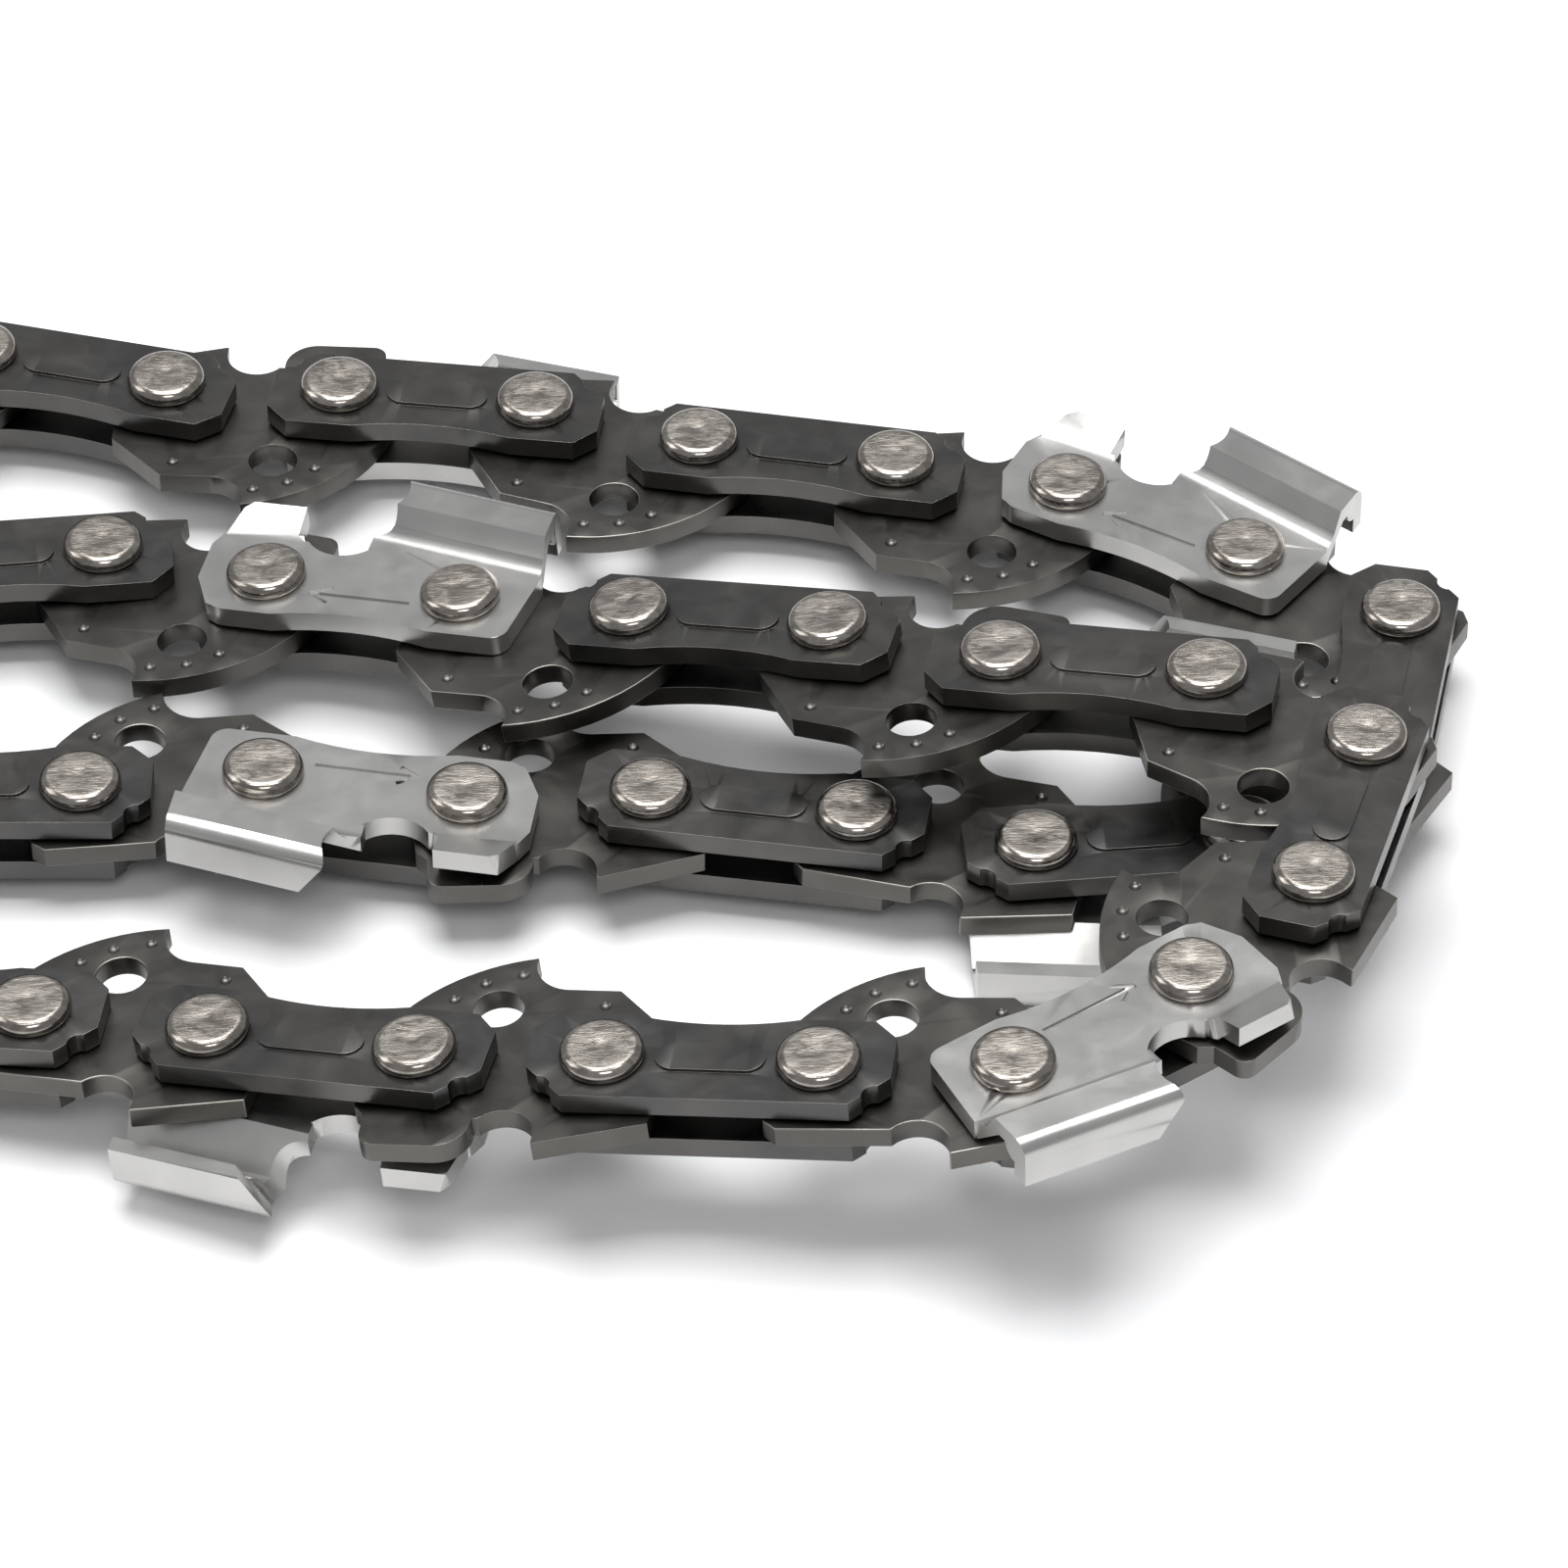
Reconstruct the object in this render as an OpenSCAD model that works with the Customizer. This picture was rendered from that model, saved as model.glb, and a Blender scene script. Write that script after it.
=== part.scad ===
// Low-profile saw chain loop, laid on its side in two coils.
// Millimetres, +Z up. The origin lies on the resting surface, under the flat land of the
// right-hand cutter in the inner left bend.
//
// A link's own frame has X towards the chain's running direction, Y out towards the cutting
// side (the tangs are at -Y) and Z across the chain, with its origin midway between its rivets.

/* [Pitch] */
// Distance between the two rivets of a drive link
drive_pitch = 8.9; // [7.4:0.1:10.7]
// Distance between the two rivets of a tie strap or cutter
side_pitch = 10.15; // [8.45:0.05:12.2]

/* [Drive links] */
// Thickness of a drive link, which is the bar groove's gauge
gauge = 1.1; // [0.9:0.05:1.4]
// How far the tip of the tang reaches below the rivet line
tang_depth = 7.9; // [6.6:0.1:9.4]
// How far the shoulder in front of the tang reaches below the rivet line
shoulder_depth = 5.8; // [4.9:0.1:6.4]
// Radius of the tang's long rounded back
tang_back_r = 9.5; // [8.6:0.1:11.4]
// Radius of the hollow scoop in front of the tip
scoop_r = 1.85; // [1.5:0.05:2.2]
// Diameter of the hole in the tang
tang_hole_d = 2.5; // [2:0.1:3]
// How far the tang hole lies below the rivet line
tang_hole_drop = 4.35; // [3.7:0.05:4.8]
// How far the tang hole lies behind the middle of the link
tang_hole_back = 1.4; // [0.8:0.05:1.7]
// How far a drive link runs on past its rivets
drive_end = 2.55; // [2.3:0.05:2.8]
// Height of the front shoulder above the rivet line
front_peak = 4.6; // [3.9:0.1:5]
// Height of a drive link's body above the rivet line
drive_top = 3.1; // [2.6:0.1:3.6]
// Height of a bumper link's hump above the rivet line
hump_top = 5.0; // [4.4:0.1:5.8]
// Radius of the notch between the shoulders
notch_r = 1.55; // [1.3:0.05:1.8]
// Diameter of the small round dimples in a drive link
dimple_d = 0.6; // [0.4:0.05:0.7]

/* [Tie straps] */
// Thickness of the tie straps and of the cutters' side plates
strap_t = 1.1; // [0.9:0.05:1.35]
// How far a tie strap runs on past its rivets
strap_end = 3.45; // [2.9:0.05:3.9]
// Reach of a strap towards the tangs
strap_low = 2.85; // [2.4:0.05:3.1]
// Reach of a strap towards the cutting side
strap_high = 2.7; // [2.3:0.05:3.3]
// Depth of the waist on the strap's tang side
waist = 0.5; // [0.3:0.05:0.7]
// Length of the raised oval on a strap
oval_l = 5.2; // [4.2:0.1:5.4]
// Width of the raised oval on a strap
oval_w = 1.8; // [1.4:0.1:2.2]
// Height of the raised oval
oval_h = 0.18; // [0.1:0.02:0.3]

/* [Cutters] */
// Half of the kerf: the cutter's corner stands this far from the chain's middle plane
kerf_half = 3.3; // [3:0.05:4]
// How far a cutter's side plate runs on past its rivets
cutter_end = 3.5; // [3:0.05:3.8]
// Height of the crease above the rivet line, at the middle of the cutter
crease_y = 3.4; // [3.2:0.05:4]
// Slope of the cutter's top towards its heel, in degrees
relief = 9; // [7:0.5:11]
// Height of the tooth above its crease
tooth_h = 3.85; // [3.3:0.05:4.4]
// Thickness of the top plate
top_plate_t = 0.85; // [0.7:0.05:1]
// How far the top plate's free edge stays from the chain's middle plane
plate_edge = 0.8; // [0.65:0.05:0.95]
// How far the depth gauge stands below the cutting corner
gauge_drop = 0.85; // [0.5:0.05:1.1]
// Radius of the gullet in front of the cutting edge
gullet_r = 2.1; // [1.8:0.05:2.3]
// Radius of the round file that sharpens the cutting edge
file_r = 2.0; // [1.7:0.05:2.3]

/* [Rivets] */
// Diameter of a rivet head
head_d = 4.0; // [3.4:0.1:4.4]
// Height of a rivet head
head_h = 0.75; // [0.6:0.05:0.9]
// Diameter of the rivet where a drive link turns on it
hub_d = 3.4; // [3:0.1:3.8]
// Diameter of the rivet where it passes through a strap
shank_d = 2.8; // [2.3:0.1:2.9]

/* [Fits] */
// Gap between a drive link and the strap on each side of it
side_gap = 0.2; // [0.18:0.02:0.3]
// Clearance of a drive link's hole round the rivet, on the radius
bearing_gap = 0.06; // [0.04:0.01:0.1]
// Clearance of a strap's hole round the rivet, on the radius
strap_gap = 0.02; // [0.01:0.01:0.04]

/* [Lay] */
// Clear height between the two coils where one crosses over the other
crossing_gap = 0.3; // [0.2:0.05:0.6]
// Number of links over which the upper coil rises to the crossing
rise_links = 8; // [8:1:9]
// Number of links over which it comes down again
fall_links = 10; // [10:1:12]

/* [Hidden] */
$fn = 48;

// Headings of the links in degrees, clockwise from +X as seen from above. Side pairs and drive
// links take turns, starting with side pair 1 at the right end of the third run.
RUN_3 = [174, 194, 189, 178, 190, 174];
INNER_BEND = [180, 168, 158, 170, 198, 232, 270, 308, 342, 369, 381, 370, 355];
RUN_2 = [378, 375, 376, 374, 381, 371, 394];
RIGHT_BEND = [467, 492, 506];
RUN_4 = [544, 547, 549, 554, 554, 548];
OUTER_BEND = [535, 528, 530, 540, 554, 570, 588, 606, 624, 642, 658, 672, 684];
HEADINGS = concat(RUN_3, INNER_BEND, RUN_2, RIGHT_BEND, RUN_4, OUTER_BEND);

// The other way round from side pair 1: the back right-hand bend, the first run and the start
// of the outer bend. Two more links close the loop.
BACK_BEND = [137, 101, 32];
RUN_1 = [30, 12, 10, 19, 7, 3, 14];
OUTER_BEND_BACK = [17, 21, 25, 30];
BACK_HEADINGS = concat(BACK_BEND, RUN_1, OUTER_BEND_BACK);

// Half thicknesses from the chain's middle plane out to each layer
strap_inside = gauge / 2 + side_gap;
strap_outside = strap_inside + strap_t;
head_outside = strap_outside + head_h;
// The upper coil's rise: the whole height over the rivet heads, and the clear gap
lift = 2 * head_outside + crossing_gap;
// The rise starts at side pair 10 and the fall at drive link 14
rise_start = 18;
fall_start = 27;

// The lowest turns of the loop stand still, the others turn on their own rivets, and the end
// section turns as one. Side pairs first, then drive links.
INNER_PAIRS = [0 : 12];
INNER_LINKS = [0 : 11];
MOVING_PAIRS = [13, 14, 15, 16, 17, 18, 19, 25, 26, 27, 28, 29, 30, 31];
MOVING_LINKS = concat([12, 24], MOVING_PAIRS);
CLOSING_PAIRS = [20 : 24];
CLOSING_LINKS = [20 : 23];

// ---- Lay of the loop ----

function pitch(i) = i % 2 == 0 ? side_pitch : drive_pitch;
// Two parabolas that meet halfway, from 0 to 1
function ease(t) = t <= 0 ? 0 : t >= 1 ? 1 : t < 0.5 ? 2 * t * t : 1 - 2 * (1 - t) * (1 - t);
function height(j) = lift * ease((j - rise_start) / rise_links)
    * (1 - ease((j - fall_start) / fall_links));
function climb(i) = height(i + 1) - height(i);
function run(i) = sqrt(pitch(i) * pitch(i) - climb(i) * climb(i));
function along(heading) = [cos(heading), -sin(heading)];

// Pivots from side pair 1 onwards, and the same the other way round
PIVOTS = [for (i = 0, p = [0, 0]; i <= len(HEADINGS);
    p = p + (i < len(HEADINGS) ? run(i) * along(HEADINGS[i]) : [0, 0]), i = i + 1) p];
BACK_PIVOTS = [for (i = 0, p = [0, 0]; i <= len(BACK_HEADINGS);
    p = p - (i < len(BACK_HEADINGS) ? pitch(i + 1) * along(BACK_HEADINGS[i]) : [0, 0]), i = i + 1) p];

// The last cutter and the last drive link close the loop as a triangle that points outwards
near_end = PIVOTS[len(HEADINGS)];
far_end = BACK_PIVOTS[len(BACK_HEADINGS)];
span = norm(far_end - near_end);
span_dir = (far_end - near_end) / span;
reach = (span * span + side_pitch * side_pitch - drive_pitch * drive_pitch) / (2 * span);
apex = near_end + reach * span_dir
    + sqrt(side_pitch * side_pitch - reach * reach) * [-span_dir[1], span_dir[0]];

function reversed(list) = [for (i = [len(list) - 1 : -1 : 0]) list[i]];
LOOP = concat(PIVOTS, [apex], reversed(BACK_PIVOTS));

// The tooth's extent along the cutter, and the flat land's extent above the crease
corner_r = 0.8;
tooth_rear = -(side_pitch / 2 + cutter_end);
tooth_front = 0.6;
land_start = 1.5;
land_end = tooth_h - corner_r;
land_x = (tooth_rear - 2) / 2;
land_y = (land_start + land_end) / 2;

// The origin lies under the middle of the land of cutter 5
origin_link = 8;
LAND = [
    land_x * cos(relief) - land_y * sin(relief),
    crease_y + land_x * sin(relief) + land_y * cos(relief)
];
origin_step = LOOP[origin_link + 1] - LOOP[origin_link];
origin_dir = origin_step / norm(origin_step);
ORIGIN = (LOOP[origin_link] + LOOP[origin_link + 1]) / 2
    - LAND[0] * origin_dir + LAND[1] * [-origin_dir[1], origin_dir[0]];

// Puts a link's own frame where link i lies in the loop
module at_link(i) {
    step = LOOP[i + 1] - LOOP[i];
    middle = (LOOP[i] + LOOP[i + 1]) / 2 - ORIGIN;
    translate([middle[0], middle[1], kerf_half + (height(i) + height(i + 1)) / 2])
        rotate([180, asin(climb(i) / pitch(i)), atan2(step[1], step[0]) + 180])
            children();
}

// ---- Drive links ----

tang_tip_x = -0.1;
scoop_x = tang_tip_x + scoop_r;
scoop_y = -(shoulder_depth + scoop_r);
hump_front_r = 1.7;
hump_rear_r = 0.7;
hump_overhang = 2.0;
notch_x = 0.2;
notch_floor = 2.5;

// The tang's back is an arc through the tip, centred a little in front of it
tang_back_x = 1.95;
tang_back_y = sqrt(tang_back_r * tang_back_r - pow(tang_back_x - tang_tip_x, 2)) - tang_depth;

DIMPLES = [[-0.6, -6.7], [-2.3, -6.05], [-3.6, -4.9], [3.7, -4.75]];

module drive_body() {
    front = drive_pitch / 2 + drive_end;
    shoulder_x = front - (shoulder_depth - strap_low - 0.2);
    intersection() {
        translate([tang_back_x, tang_back_y])
            circle(tang_back_r);
        polygon([
            [-front - 1, -tang_depth - 1],
            [scoop_x, -tang_depth - 1],
            [scoop_x, -shoulder_depth],
            [shoulder_x, -shoulder_depth],
            [front, -strap_low - 0.2],
            [front, drive_top],
            [notch_x + notch_r + 0.1, front_peak],
            [notch_x, front_peak],
            [notch_x, drive_top],
            [-front + 0.6, drive_top],
            [-front, drive_top - 0.6],
        ]);
    }
}

// A bumper link's hump, rising from the notch's rear wall to a blunt rear corner
module hump() {
    rear_x = -drive_pitch / 2 - hump_overhang;
    front_x = notch_x - notch_r + 0.05;
    translate([rear_x + hump_rear_r, hump_top - hump_rear_r])
        circle(hump_rear_r);
    translate([front_x - hump_front_r, hump_top - hump_front_r])
        circle(hump_front_r);
    translate([rear_x, strap_high - 1])
        square([front_x - rear_x - hump_front_r, hump_top - hump_rear_r - strap_high + 1]);
    translate([rear_x + hump_rear_r, strap_high - 1])
        square([front_x - rear_x - hump_rear_r - hump_front_r, hump_top - strap_high + 1]);
    translate([rear_x, strap_high - 1])
        square([front_x - rear_x, hump_top - hump_front_r - strap_high + 1]);
}

module drive_outline(bumper) {
    difference() {
        union() {
            drive_body();
            if (bumper)
                hump();
        }
        translate([scoop_x, scoop_y])
            circle(scoop_r);
        translate([notch_x, notch_floor + notch_r])
            circle(notch_r);
        translate([notch_x - notch_r, notch_floor + notch_r])
            square([2 * notch_r, hump_top]);
        for (x = [-drive_pitch / 2, drive_pitch / 2])
            translate([x, 0])
                circle(hub_d / 2 + bearing_gap);
        translate([-tang_hole_back, -tang_hole_drop])
            circle(tang_hole_d / 2);
    }
}
module drive_link(bumper) {
    dimple_r = 0.4;
    dimple_lift = sqrt(dimple_r * dimple_r - dimple_d * dimple_d / 4);
    color("#4a4846")
        difference() {
            linear_extrude(gauge, center = true)
                drive_outline(bumper);
            for (p = DIMPLES, side = [-1, 1])
                translate([p[0], p[1], side * (gauge / 2 + dimple_lift)])
                    sphere(dimple_r);
        }
}

// ---- Tie straps ----

scallop_r = 0.6;
low_chamfer = 1.1;
high_chamfer = 1.8;

module rivet_holes() {
    for (x = [-side_pitch / 2, side_pitch / 2])
        translate([x, 0])
            circle(shank_d / 2 + strap_gap);
}

// Hollows the tang side of a strap or cutter between its rivets
module waist_cut(low) {
    half_chord = side_pitch * 0.4;
    r = (half_chord * half_chord + waist * waist) / (2 * waist);
    translate([0, waist - low - r])
        circle(r, $fn = 96);
}

module strap_outline() {
    front = side_pitch / 2 + strap_end;
    difference() {
        polygon([
            [-front + low_chamfer, -strap_low],
            [front - low_chamfer, -strap_low],
            [front, -strap_low + low_chamfer],
            [front, strap_high - high_chamfer],
            [front - high_chamfer, strap_high],
            [-front + high_chamfer, strap_high],
            [-front, strap_high - high_chamfer],
            [-front, -strap_low + low_chamfer],
        ]);
        for (x = [-1, 1])
            translate([x * (front - high_chamfer / 2 + 0.25), strap_high - high_chamfer / 2 + 0.25])
                circle(scallop_r);
        waist_cut(strap_low);
        rivet_holes();
    }
}

module oval() {
    straight = (oval_l - oval_w) / 2;
    translate([-straight, -oval_w / 2])
        square([2 * straight, oval_w]);
    for (x = [-straight, straight])
        translate([x, 0])
            circle(oval_w / 2);
}

// A tie strap on the left (side = -1) or the right (side = 1) of the drive links
module tie_strap(side) {
    color("#454443")
        mirror([0, 0, side > 0 ? 0 : 1])
            translate([0, 0, strap_inside]) {
                linear_extrude(strap_t)
                    strap_outline();
                translate([0, 0, strap_t / 2])
                    linear_extrude(strap_t / 2 + oval_h)
                        oval();
            }
}

// ---- Cutters ----

gullet_x = 2.1;
gullet_y = crease_y - 1.3 + gullet_r;
gauge_tip_y = crease_y + tooth_h - gauge_drop;
gauge_fold_y = crease_y - 0.5;
arrow_depth = 0.12;
arrow_w = 0.24;
rear_end = side_pitch / 2 + cutter_end;

// Side plate, up to the crease
module plate_outline() {
    corner = 0.9;
    crease_rear = crease_y - rear_end * tan(relief);
    difference() {
        union() {
            polygon([
                [-rear_end + 0.4 + corner, -strap_low],
                [rear_end - 1.1 - corner, -strap_low],
                [rear_end - 1.1, -strap_low + 0.3],
                [rear_end - 0.1, -strap_low + 2.2],
                [rear_end, gauge_fold_y - 0.9],
                [rear_end - 0.4, gauge_fold_y],
                [gullet_x, gauge_fold_y],
                [0, crease_y],
                [-rear_end - 0.1, crease_rear],
                [-rear_end + 0.4, -strap_low + corner],
            ]);
            translate([-rear_end + 0.4 + corner, -strap_low + corner])
                circle(corner);
            translate([rear_end - 1.1 - corner, -strap_low + corner])
                circle(corner);
        }
        translate([gullet_x, gullet_y])
            circle(gullet_r);
        waist_cut(strap_low);
        rivet_holes();
    }
}

// Depth gauge, seen from the side
module gauge_outline() {
    base_x = gullet_x + gullet_r + 0.15;
    base_y = gauge_fold_y - 0.1;
    tip_r = 0.3;
    difference() {
        union() {
            polygon([
                [base_x, base_y],
                [base_x, gauge_tip_y - tip_r],
                [base_x + tip_r, gauge_tip_y],
                [base_x + 1.1, gauge_tip_y - 0.15],
                [base_x + 2.2, gauge_tip_y - 0.7],
                [base_x + 3.2, gauge_tip_y - 1.6],
                [rear_end - 0.5, gauge_fold_y + 0.3],
                [rear_end - 0.4, base_y],
            ]);
            translate([base_x + tip_r, gauge_tip_y - tip_r])
                circle(tip_r);
            translate([base_x - 0.4, base_y])
                square([1, 0.7]);
        }
        translate([gullet_x, gullet_y])
            circle(gullet_r);
    }
}

// Section across the tooth: the curved flare, the flat land, the rounded corner and the top plate
module tooth_section() {
    flare_r = 1.0;
    flare_turn = 60;
    bend = flare_r * tan(flare_turn / 2);
    difference() {
        union() {
            polygon([
                [-0.6, strap_inside],
                [0.1, strap_inside],
                [land_start + 0.3, kerf_half - top_plate_t],
                [tooth_h - top_plate_t, kerf_half - top_plate_t],
                [tooth_h - top_plate_t, plate_edge],
                [tooth_h, plate_edge],
                [tooth_h, kerf_half - corner_r],
                [tooth_h - corner_r, kerf_half],
                [land_start, kerf_half],
                [bend, strap_outside],
                [-0.6, strap_outside],
            ]);
            polygon([
                [0, strap_outside],
                [bend, strap_outside],
                [flare_r * sin(flare_turn), strap_outside + flare_r * (1 - cos(flare_turn))],
            ]);
            translate([tooth_h - corner_r, kerf_half - corner_r])
                circle(corner_r);
        }
        translate([0, strap_outside + flare_r])
            circle(flare_r);
    }
}

// What the round file takes away in front of the cutting edge
module filing() {
    file_turn = 30;
    corner_x = -0.8;
    above = 0.6;
    clear_y = 0.9 - file_r;
    clear_w = 10;
    translate([corner_x + file_r / cos(file_turn), crease_y + tooth_h + above - file_r, kerf_half])
        rotate([0, file_turn, 0]) {
            cylinder(h = 2 * clear_w, r = file_r, center = true);
            translate([0, clear_y, -clear_w])
                cube([clear_w, clear_w, 2 * clear_w]);
        }
}

module tooth() {
    difference() {
        translate([0, crease_y, 0])
            rotate([0, 0, relief])
                translate([tooth_rear - 0.6, 0, 0])
                    rotate([90, 0, 90])
                        linear_extrude(tooth_front - tooth_rear + 1.2)
                            tooth_section();
        translate([tooth_rear - 3, -10, -1])
            cube([3, 30, 10]);
        translate([tooth_front, 0, -1])
            cube([6, 20, 10]);
    }
}

module arrow() {
    tail_x = -2.7;
    tip_x = 2.5;
    arrow_y = -0.95;
    barb = 1.2;
    translate([tail_x, arrow_y - arrow_w / 2])
        square([tip_x - tail_x, arrow_w]);
    for (turn = [-30, 30])
        translate([tip_x, arrow_y])
            rotate(180 + turn)
                translate([0, -arrow_w / 2])
                    square([barb, arrow_w]);
}

// A cutter on the left (side = -1) or the right (side = 1)
module cutter(side) {
    fold = 18;
    color("#b9b9b7")
        mirror([0, 0, side > 0 ? 0 : 1])
            difference() {
                union() {
                    translate([0, 0, strap_inside])
                        linear_extrude(strap_t)
                            plate_outline();
                    translate([0, gauge_fold_y, strap_inside])
                        rotate([fold, 0, 0])
                            translate([0, -gauge_fold_y, 0])
                                linear_extrude(strap_t)
                                    gauge_outline();
                    tooth();
                }
                filing();
                translate([0, 0, strap_outside - arrow_depth])
                    linear_extrude(1)
                        arrow();
            }
}

// ---- Rivets ----

// Half section of a rivet: the hub the drive link turns on, the shank and a barrel-edged head
module rivet_half_section() {
    edge_r = 0.5;
    dish_r = 1.6;
    dish_depth = 0.06;
    difference() {
        union() {
            square([hub_d / 2, strap_inside]);
            square([shank_d / 2, head_outside]);
            intersection() {
                union() {
                    translate([0, strap_outside])
                        square([head_d / 2 - edge_r, head_h]);
                    translate([head_d / 2 - edge_r, head_outside - edge_r])
                        circle(edge_r);
                }
                translate([0, strap_outside])
                    square([head_d, head_h]);
            }
        }
        translate([0, head_outside + dish_r - dish_depth])
            circle(dish_r, $fn = 96);
        translate([-head_d, -1])
            square([head_d, head_outside + 2]);
    }
}

module rivet() {
    color("#8f8a84") {
        rotate_extrude()
            rivet_half_section();
        mirror([0, 0, 1])
            rotate_extrude()
                rivet_half_section();
    }
}

// ---- The pieces in their places ----

// Side pairs 1, 5, 9... carry a right-hand cutter and 3, 7, 11... a left-hand one
function is_cutter(k) = k % 2 == 0;
function cutter_side(k) = k % 4 == 0 ? 1 : -1;
function is_bumper(k) = k % 2 == 1;
open_pair = 24;

module drive_link_at(k) {
    at_link(2 * k + 1)
        drive_link(is_bumper(k));
}

module cutter_at(k) {
    at_link(2 * k)
        cutter(cutter_side(k));
}

module straps_at(k) {
    at_link(2 * k) {
        if (!is_cutter(k) || cutter_side(k) < 0)
            tie_strap(1);
        if (!is_cutter(k) || cutter_side(k) > 0)
            tie_strap(-1);
    }
}

// The loop is open at one end of one pair, so that pair keeps only its other rivet
module rivets_at(k) {
    at_link(2 * k)
        for (x = k == open_pair ? [1] : [-1, 1])
            translate([x * side_pitch / 2, 0, 0])
                rivet();
}

// ---- Nodes ----

function link_name(k) = str(is_bumper(k) ? "bumper_link_" : "drive_link_", k + 1);
MOVING_CUTTER_PAIRS = [for (k = MOVING_PAIRS) if (is_cutter(k)) k];
MOVING_STRAP_PAIRS = [for (k = MOVING_PAIRS) if (!is_cutter(k)) k];

module inner_drive_links() {
    for (k = INNER_LINKS)
        if (!is_bumper(k))
            drive_link_at(k);
}

module inner_bumper_links() {
    for (k = INNER_LINKS)
        if (is_bumper(k))
            drive_link_at(k);
}

module inner_cutters(side) {
    for (k = INNER_PAIRS)
        if (is_cutter(k) && cutter_side(k) == side)
            cutter_at(k);
}

module inner_tie_straps() {
    for (k = INNER_PAIRS)
        straps_at(k);
}

module inner_rivets() {
    for (k = INNER_PAIRS)
        rivets_at(k);
}

module closing_drive_links() {
    for (k = CLOSING_LINKS)
        drive_link_at(k);
}

module closing_cutters() {
    for (k = CLOSING_PAIRS)
        if (is_cutter(k))
            cutter_at(k);
}

module closing_tie_straps() {
    for (k = CLOSING_PAIRS)
        straps_at(k);
}

module closing_rivets() {
    for (k = CLOSING_PAIRS)
        rivets_at(k);
}

inner_drive_links();
inner_bumper_links();
inner_cutters(-1);  // inner_left_cutters
inner_cutters(1);  // inner_right_cutters
inner_tie_straps();
inner_rivets();
closing_drive_links();
closing_cutters();
closing_tie_straps();
closing_rivets();
for (k = MOVING_LINKS)
    drive_link_at(k);
for (k = MOVING_CUTTER_PAIRS)
    cutter_at(k);
for (k = MOVING_CUTTER_PAIRS)
    straps_at(k);
for (k = MOVING_STRAP_PAIRS)
    straps_at(k);
for (k = MOVING_PAIRS)
    rivets_at(k);
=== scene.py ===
"""Looks for the coiled loop of saw chain: satin dark steel links, bright cutters and nickel rivets
on a plain white surface under soft studio light. Metres, +Z up, the row's own frame."""
import math

import bpy
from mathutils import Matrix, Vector

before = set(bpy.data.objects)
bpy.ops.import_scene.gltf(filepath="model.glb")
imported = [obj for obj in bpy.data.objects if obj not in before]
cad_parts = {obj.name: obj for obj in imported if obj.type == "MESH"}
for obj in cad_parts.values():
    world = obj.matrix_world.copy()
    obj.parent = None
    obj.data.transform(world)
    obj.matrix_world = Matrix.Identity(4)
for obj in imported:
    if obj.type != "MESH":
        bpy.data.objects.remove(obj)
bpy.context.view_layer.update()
scene = bpy.context.scene

MM = 0.001

# The camera looks along +Y and down on the right-hand bends, through a long lens
AIM = Vector((61.166, 15.16, 0.84)) * MM
ELEVATION = math.radians(42.06)
DISTANCE = 419.6 * MM
LENS = 194.9

# Edges that turn more than EDGE_TURN are rounded, and past CREASE_TURN the shading breaks
EDGE_TURN = math.radians(52)
CREASE_TURN = math.radians(35)

# ---- Materials ----


def principled(name, colour, metallic, roughness):
    """A new material and its shader, with uniform values set on the shader itself."""
    mat = bpy.data.materials.new(name)
    mat.use_nodes = True
    bsdf = mat.node_tree.nodes["Principled BSDF"]
    bsdf.inputs["Base Color"].default_value = (*colour, 1)
    bsdf.inputs["Metallic"].default_value = metallic
    bsdf.inputs["Roughness"].default_value = roughness
    return mat, bsdf


def noise(mat, scale, detail=4.0, stretch=(1, 1, 1), distortion=0.0):
    """A noise pattern in the piece's own coordinates. Returns its factor output."""
    nodes, links = mat.node_tree.nodes, mat.node_tree.links
    coord = nodes.new("ShaderNodeTexCoord")
    mapping = nodes.new("ShaderNodeMapping")
    mapping.inputs["Scale"].default_value = stretch
    tex = nodes.new("ShaderNodeTexNoise")
    tex.inputs["Scale"].default_value = scale
    tex.inputs["Detail"].default_value = detail
    tex.inputs["Distortion"].default_value = distortion
    links.new(coord.outputs["Object"], mapping.inputs["Vector"])
    links.new(mapping.outputs["Vector"], tex.inputs["Vector"])
    return tex.outputs["Fac"]


def ramp(mat, fac, stops):
    """A colour ramp over fac. stops are (position, (r, g, b))."""
    node = mat.node_tree.nodes.new("ShaderNodeValToRGB")
    mat.node_tree.links.new(fac, node.inputs["Fac"])
    elements = node.color_ramp.elements
    while len(elements) < len(stops):
        elements.new(0.5)
    for element, (position, colour) in zip(elements, stops):
        element.position = position
        element.color = (*colour, 1)
    return node.outputs["Color"]


def to_range(mat, fac, low, high, out_low, out_high):
    """fac from low..high to out_low..out_high."""
    node = mat.node_tree.nodes.new("ShaderNodeMapRange")
    mat.node_tree.links.new(fac, node.inputs["Value"])
    node.inputs["From Min"].default_value = low
    node.inputs["From Max"].default_value = high
    node.inputs["To Min"].default_value = out_low
    node.inputs["To Max"].default_value = out_high
    return node.outputs["Result"]


def bump(mat, bsdf, fac, strength, distance):
    """Raises the surface where fac is high."""
    node = mat.node_tree.nodes.new("ShaderNodeBump")
    node.inputs["Strength"].default_value = strength
    node.inputs["Distance"].default_value = distance
    mat.node_tree.links.new(fac, node.inputs["Height"])
    mat.node_tree.links.new(node.outputs["Normal"], bsdf.inputs["Normal"])


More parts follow.
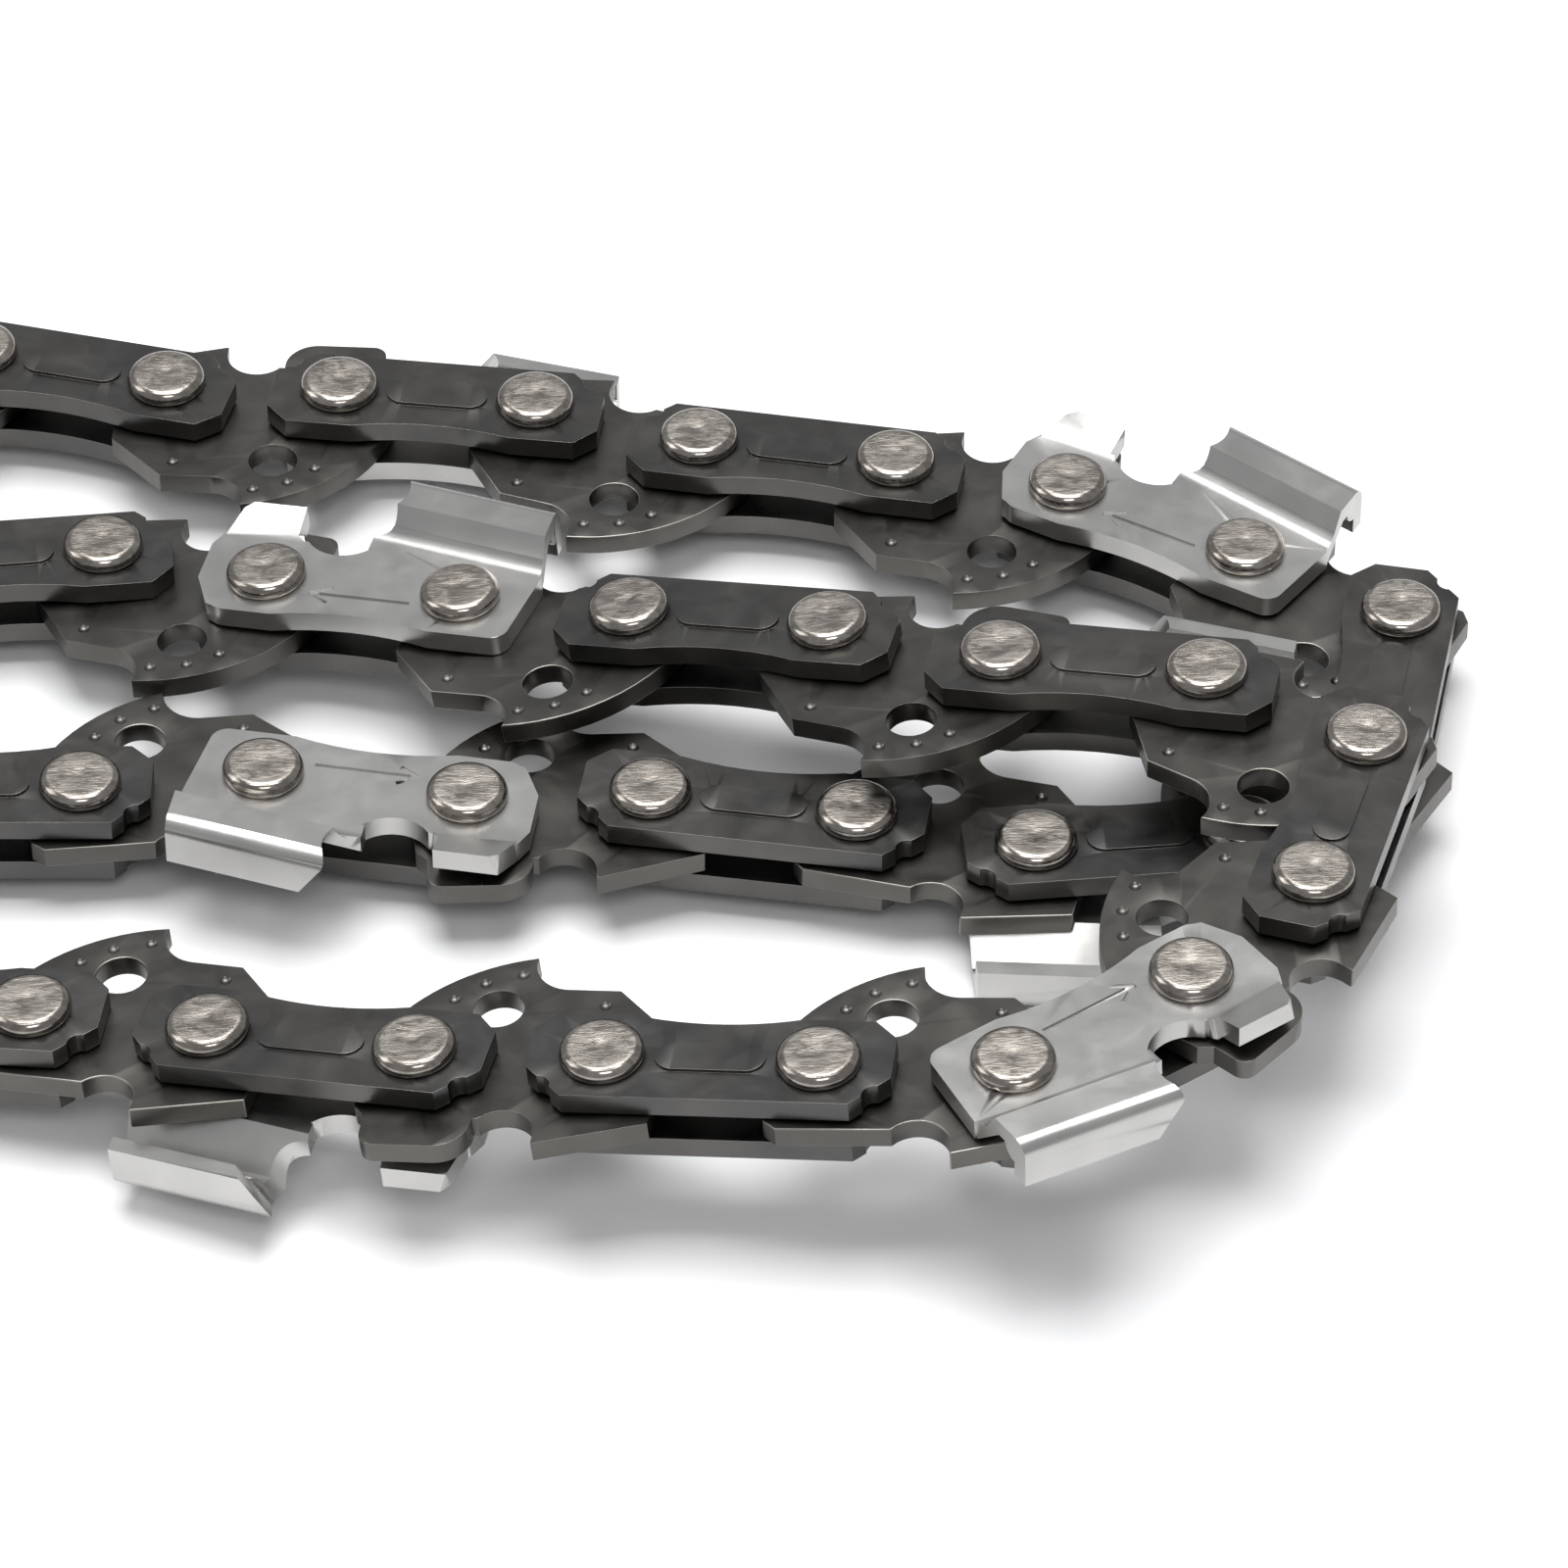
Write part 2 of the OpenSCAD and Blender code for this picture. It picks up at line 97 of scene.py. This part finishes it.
def steel(name, dark, light, roughness, rough_span, grain):
    """Satin steel whose tint and sheen drift a little over the piece, with a fine stamped grain."""
    mat, bsdf = principled(name, dark, 1.0, roughness)
    links = mat.node_tree.links
    tint = ramp(mat, noise(mat, 160, 3), [(0.35, dark), (0.65, light)])
    links.new(tint, bsdf.inputs["Base Color"])
    smear = noise(mat, 420, 5, distortion=0.6)
    sheen = to_range(mat, smear, 0.3, 0.7, roughness - rough_span, roughness + rough_span)
    links.new(sheen, bsdf.inputs["Roughness"])
    bump(mat, bsdf, noise(mat, 2600, 3), grain, 0.00002)
    return mat


LINK_STEEL = steel(
    "drive link steel",
    dark=(0.098, 0.095, 0.088), light=(0.128, 0.122, 0.113),
    roughness=0.34, rough_span=0.07, grain=0.16,
)
STRAP_STEEL = steel(
    "strap steel",
    dark=(0.088, 0.087, 0.086), light=(0.118, 0.113, 0.107),
    roughness=0.33, rough_span=0.07, grain=0.16,
)
# Lighter steel for the rounded edges of links and straps: partly wear, partly a painted highlight
# where the edges catch the light
WORN_EDGE_AND_HIGHLIGHT = steel(
    "worn dark edge with painted highlight",
    dark=(0.20, 0.19, 0.175), light=(0.27, 0.255, 0.235),
    roughness=0.30, rough_span=0.05, grain=0.1,
)
CUTTER_STEEL = steel(
    "cutter steel",
    dark=(0.44, 0.435, 0.425), light=(0.52, 0.515, 0.50),
    roughness=0.31, rough_span=0.04, grain=0.2,
)
# Brighter steel for the rounded cutter edges: partly wear, partly a painted highlight where the
# edges catch the light
CUTTER_EDGE_AND_HIGHLIGHT = steel(
    "cutter edge with painted highlight",
    dark=(0.56, 0.555, 0.545), light=(0.66, 0.655, 0.645),
    roughness=0.24, rough_span=0.05, grain=0.1,
)


def rivet_steel():
    """Nickel-bright rivets: mirror-like shoulders and dull, brushed flat tops."""
    dark, light, shine = (0.22, 0.20, 0.178), (0.37, 0.345, 0.315), 0.16
    mat, bsdf = principled("rivet steel", dark, 1.0, shine)
    nodes, links = mat.node_tree.nodes, mat.node_tree.links
    coord = nodes.new("ShaderNodeTexCoord")
    split = nodes.new("ShaderNodeSeparateXYZ")
    links.new(coord.outputs["Normal"], split.inputs["Vector"])
    upright = nodes.new("ShaderNodeMath")
    upright.operation = "ABSOLUTE"
    links.new(split.outputs["Z"], upright.inputs[0])
    top = to_range(mat, upright.outputs[0], 0.9, 0.985, 0, 1)
    patches = noise(mat, 900, 6, stretch=(1.0, 2.2, 1.0), distortion=1.2)
    links.new(ramp(mat, patches, [(0.35, dark), (0.68, light)]), bsdf.inputs["Base Color"])
    dull = nodes.new("ShaderNodeMath")
    dull.operation = "MULTIPLY_ADD"
    links.new(top, dull.inputs[0])
    links.new(to_range(mat, patches, 0.3, 0.7, 0.14, 0.30), dull.inputs[1])
    dull.inputs[2].default_value = shine
    links.new(dull.outputs[0], bsdf.inputs["Roughness"])
    scratches = noise(mat, 1500, 8, stretch=(0.6, 3.0, 1.0), distortion=2.0)
    depth = nodes.new("ShaderNodeMath")
    depth.operation = "MULTIPLY"
    links.new(scratches, depth.inputs[0])
    links.new(top, depth.inputs[1])
    bump(mat, bsdf, depth.outputs[0], 0.45, 0.00006)
    return mat


RIVET_STEEL = rivet_steel()

# ---- The pieces: every node keeps its shape and gets rounded edges and its finish ----

# A word in the node's name, its material slot, its finish, the finish of its rounded edges
# (lighter: partly wear, partly painted highlight) and how far those edges are rounded, in
# millimetres
FINISHES = (
    ("rivets", "rivet_steel", RIVET_STEEL, RIVET_STEEL, 0.02),
    ("cutter", "cutter_steel", CUTTER_STEEL, CUTTER_EDGE_AND_HIGHLIGHT, 0.05),
    ("strap", "strap_steel", STRAP_STEEL, WORN_EDGE_AND_HIGHLIGHT, 0.06),
    ("link", "drive_link_steel", LINK_STEEL, WORN_EDGE_AND_HIGHLIGHT, 0.06),
)


def finish_of(name):
    """The first row of FINISHES whose word is in the node's name, without the word."""
    return next(row[1:] for row in FINISHES if row[0] in name)


def sharp_by_angle(limit):
    """A node group that keeps edges flatter than limit smooth and the others sharp."""
    group = bpy.data.node_groups.new("sharp by angle", "GeometryNodeTree")
    group.interface.new_socket("Geometry", in_out="INPUT", socket_type="NodeSocketGeometry")
    group.interface.new_socket("Geometry", in_out="OUTPUT", socket_type="NodeSocketGeometry")
    start = group.nodes.new("NodeGroupInput")
    end = group.nodes.new("NodeGroupOutput")
    angle = group.nodes.new("GeometryNodeInputMeshEdgeAngle")
    flatter = group.nodes.new("FunctionNodeCompare")
    flatter.data_type = "FLOAT"
    flatter.operation = "LESS_THAN"
    flatter.inputs["B"].default_value = limit
    smooth = group.nodes.new("GeometryNodeSetShadeSmooth")
    smooth.domain = "EDGE"
    group.links.new(angle.outputs["Unsigned Angle"], flatter.inputs["A"])
    group.links.new(start.outputs[0], smooth.inputs["Geometry"])
    group.links.new(flatter.outputs["Result"], smooth.inputs["Shade Smooth"])
    group.links.new(smooth.outputs[0], end.inputs[0])
    return group


def dress(obj, body_mat, worn_edge_and_highlight_mat, rounding, sharp):
    """Gives a node its two materials, rounded edges and clean shading. Its own mesh stays."""
    if "custom_normal" in obj.data.attributes:
        obj.data.attributes.remove(obj.data.attributes["custom_normal"])
    obj.data.materials.clear()
    obj.data.materials.append(body_mat)
    obj.data.materials.append(worn_edge_and_highlight_mat)
    for polygon in obj.data.polygons:
        polygon.material_index = 0
        polygon.use_smooth = True
    weld = obj.modifiers.new("weld", "WELD")
    weld.merge_threshold = 0.001 * MM
    bevel = obj.modifiers.new("rounding", "BEVEL")
    bevel.width = rounding * MM
    bevel.segments = 3
    bevel.limit_method = "ANGLE"
    bevel.angle_limit = EDGE_TURN
    bevel.use_clamp_overlap = True
    # The rounded edge strips take the lighter edge material: partly wear, partly painted highlight
    bevel.material = 1
    obj.modifiers.new("sharp edges", "NODES").node_group = sharp
    flat = obj.modifiers.new("flat faces", "WEIGHTED_NORMAL")
    flat.keep_sharp = True
    flat.mode = "FACE_AREA"
    flat.weight = 90


SHARP = sharp_by_angle(CREASE_TURN)

for name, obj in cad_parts.items():
    slot, body_mat, worn_edge_and_highlight_mat, rounding = finish_of(name)
    dress(obj, body_mat, worn_edge_and_highlight_mat, rounding, SHARP)

# ---- Floor, light and camera ----

bpy.ops.mesh.primitive_plane_add(size=6, location=(0, 0, 0))
floor = bpy.context.object
floor.name = "floor"
white_surface, _ = principled("white surface", (0.86, 0.86, 0.865), 0.0, 0.55)
floor.data.materials.append(white_surface)


def softbox(name, place, look_at, size, power):
    """A rectangular area lamp at place that faces look_at."""
    data = bpy.data.lights.new(name, "AREA")
    data.shape = "RECTANGLE"
    data.size, data.size_y = size
    data.energy = power
    lamp = bpy.data.objects.new(name, data)
    scene.collection.objects.link(lamp)
    lamp.location = place
    lamp.rotation_euler = (Vector(look_at) - Vector(place)).to_track_quat("-Z", "Y").to_euler()


softbox("top softbox", (0.03, 0.12, 0.80), (0.04, 0.02, 0), (0.6, 0.5), 7.0)
softbox("left softbox", (-0.60, 0.10, 0.45), (0.03, 0.02, 0), (0.3, 0.4), 1.0)
softbox("front softbox", (0.10, -0.50, 0.65), (0.05, 0.02, 0), (0.3, 0.2), 1.2)

world = bpy.data.worlds.new("studio")
world.use_nodes = True
background = world.node_tree.nodes["Background"]
background.inputs["Color"].default_value = (0.97, 0.98, 1.0, 1)
background.inputs["Strength"].default_value = 0.48
scene.world = world
scene.view_settings.view_transform = "Standard"

camera_data = bpy.data.cameras.new("camera")
camera_data.lens = LENS
camera_data.sensor_width = 36
camera_data.clip_start = 0.01
camera_data.dof.use_dof = False
camera = bpy.data.objects.new("camera", camera_data)
scene.collection.objects.link(camera)
camera.location = AIM + DISTANCE * Vector((0, -math.cos(ELEVATION), math.sin(ELEVATION)))
camera.rotation_euler = (math.pi / 2 - ELEVATION, 0, 0)
scene.camera = camera
